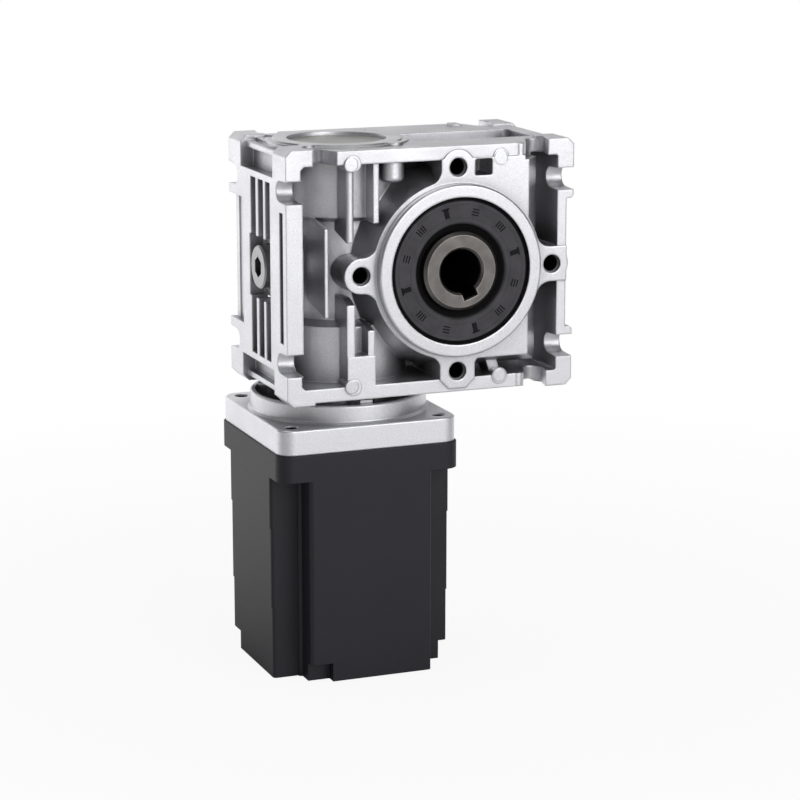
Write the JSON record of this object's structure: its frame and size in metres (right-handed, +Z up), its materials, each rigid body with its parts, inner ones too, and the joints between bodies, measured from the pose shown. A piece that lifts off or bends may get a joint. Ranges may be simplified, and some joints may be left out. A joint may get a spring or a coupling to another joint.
{
  "type": "brushless gear motor",
  "caption": "Square brushless motor below a right-angle worm gearbox with a hollow keyed output shaft, cast feet and flange bolt circles.",
  "frame": {"origin": "centre of the hollow output bore, in the plane of the motor axis", "axes": "+Z up along the motor and worm axis, from the motor towards the gearbox; +Y along the output bore, away from the front face with the integral bearing ring; the motor axis is 30 mm from the origin towards -X"},
  "size_m": [0.1005, 0.063, 0.17],
  "materials": {
    "cast_aluminium": "fine satin, as blasted die casting",
    "machined_aluminium": "fine satin",
    "black_coat": "satin black powder coat",
    "shaft_steel": "turned and honed, slightly brown",
    "bearing_steel": "ground",
    "lamination_steel": "stacked sheet edges",
    "screw_steel": "black oxide",
    "plug_zinc": "zinc plated",
    "cap_steel": "pale satin",
    "bronze": "cast and hobbed",
    "copper_wire": "enamelled wire",
    "magnet_grey": "plain nickel",
    "seal_rubber": "matt moulded rubber",
    "board_green": "solder mask",
    "black_plastic": "moulded"
  },
  "bodies": {
    "root": {"gearbox_housing": "cast_aluminium", "rear_cover": "cast_aluminium", "cover_screws": "screw_steel", "front_output_seal": "seal_rubber", "rear_output_seal": "seal_rubber", "worm_seal": "seal_rubber", "end_cap": "cap_steel", "oil_plug": "plug_zinc", "plug_washer": "seal_rubber", "adapter_flange": "machined_aluminium", "hex_spacers": "plug_zinc", "spacer_screws": "screw_steel", "motor_screws": "screw_steel", "motor_front_cover": "black_coat", "stator_core": "black_coat", "stator_windings": "copper_wire", "motor_rear_cover": "black_coat", "lead_grommet": "seal_rubber", "wave_washer": "bearing_steel", "sensor_board": "board_green", "hall_sensors": "black_plastic", "through_screws": "screw_steel", "upper_circlip": "bearing_steel", "lower_circlip": "bearing_steel", "front_output_bearing_outer_ring": "bearing_steel", "rear_output_bearing_outer_ring": "bearing_steel", "upper_worm_bearing_outer_ring": "bearing_steel", "lower_worm_bearing_outer_ring": "bearing_steel", "front_motor_bearing_outer_ring": "bearing_steel", "rear_motor_bearing_outer_ring": "bearing_steel"},
    "output": {"output_shaft": "shaft_steel", "worm_wheel_rim": "bronze", "front_output_bearing_inner_ring": "bearing_steel", "rear_output_bearing_inner_ring": "bearing_steel"},
    "rotor": {"worm_shaft": "bearing_steel", "motor_shaft": "bearing_steel", "shaft_key": "bearing_steel", "rotor_core": "lamination_steel", "rotor_magnets": "magnet_grey", "upper_worm_bearing_inner_ring": "bearing_steel", "lower_worm_bearing_inner_ring": "bearing_steel", "front_motor_bearing_inner_ring": "bearing_steel", "rear_motor_bearing_inner_ring": "bearing_steel"},
    "output_balls": {"front_output_bearing_balls": "bearing_steel", "rear_output_bearing_balls": "bearing_steel"},
    "upper_worm_balls": {"upper_worm_bearing_balls": "bearing_steel"},
    "lower_worm_balls": {"lower_worm_bearing_balls": "bearing_steel"},
    "motor_balls": {"front_motor_bearing_balls": "bearing_steel", "rear_motor_bearing_balls": "bearing_steel"}
  },
  "joints": [
    {"name": "output_spin", "type": "hinge", "parent": "root", "child": "output", "pos_m": [0, 0, 0], "axis": [0, 1, 0], "continuous": true},
    {"name": "rotor_spin", "type": "hinge", "parent": "root", "child": "rotor", "pos_m": [-0.03, 0, 0], "axis": [0, 0, 1], "continuous": true},
    {"name": "output_balls_spin", "type": "hinge", "parent": "root", "child": "output_balls", "pos_m": [0, 0, 0], "axis": [0, 1, 0], "continuous": true},
    {"name": "upper_worm_balls_spin", "type": "hinge", "parent": "root", "child": "upper_worm_balls", "pos_m": [-0.03, 0, 0.0286], "axis": [0, 0, 1], "continuous": true},
    {"name": "lower_worm_balls_spin", "type": "hinge", "parent": "root", "child": "lower_worm_balls", "pos_m": [-0.03, 0, -0.0281], "axis": [0, 0, 1], "continuous": true},
    {"name": "motor_balls_spin", "type": "hinge", "parent": "root", "child": "motor_balls", "pos_m": [-0.03, 0, -0.0895], "axis": [0, 0, 1], "continuous": true}
  ],
  "couplings": [
    {"joint": "rotor_spin", "follows": "output_spin", "ratio": -30},
    {"joint": "output_balls_spin", "follows": "output_spin", "ratio": 0.40833},
    {"joint": "upper_worm_balls_spin", "follows": "output_spin", "ratio": -10.977},
    {"joint": "lower_worm_balls_spin", "follows": "output_spin", "ratio": -12.474},
    {"joint": "motor_balls_spin", "follows": "output_spin", "ratio": -11.4}
  ]
}
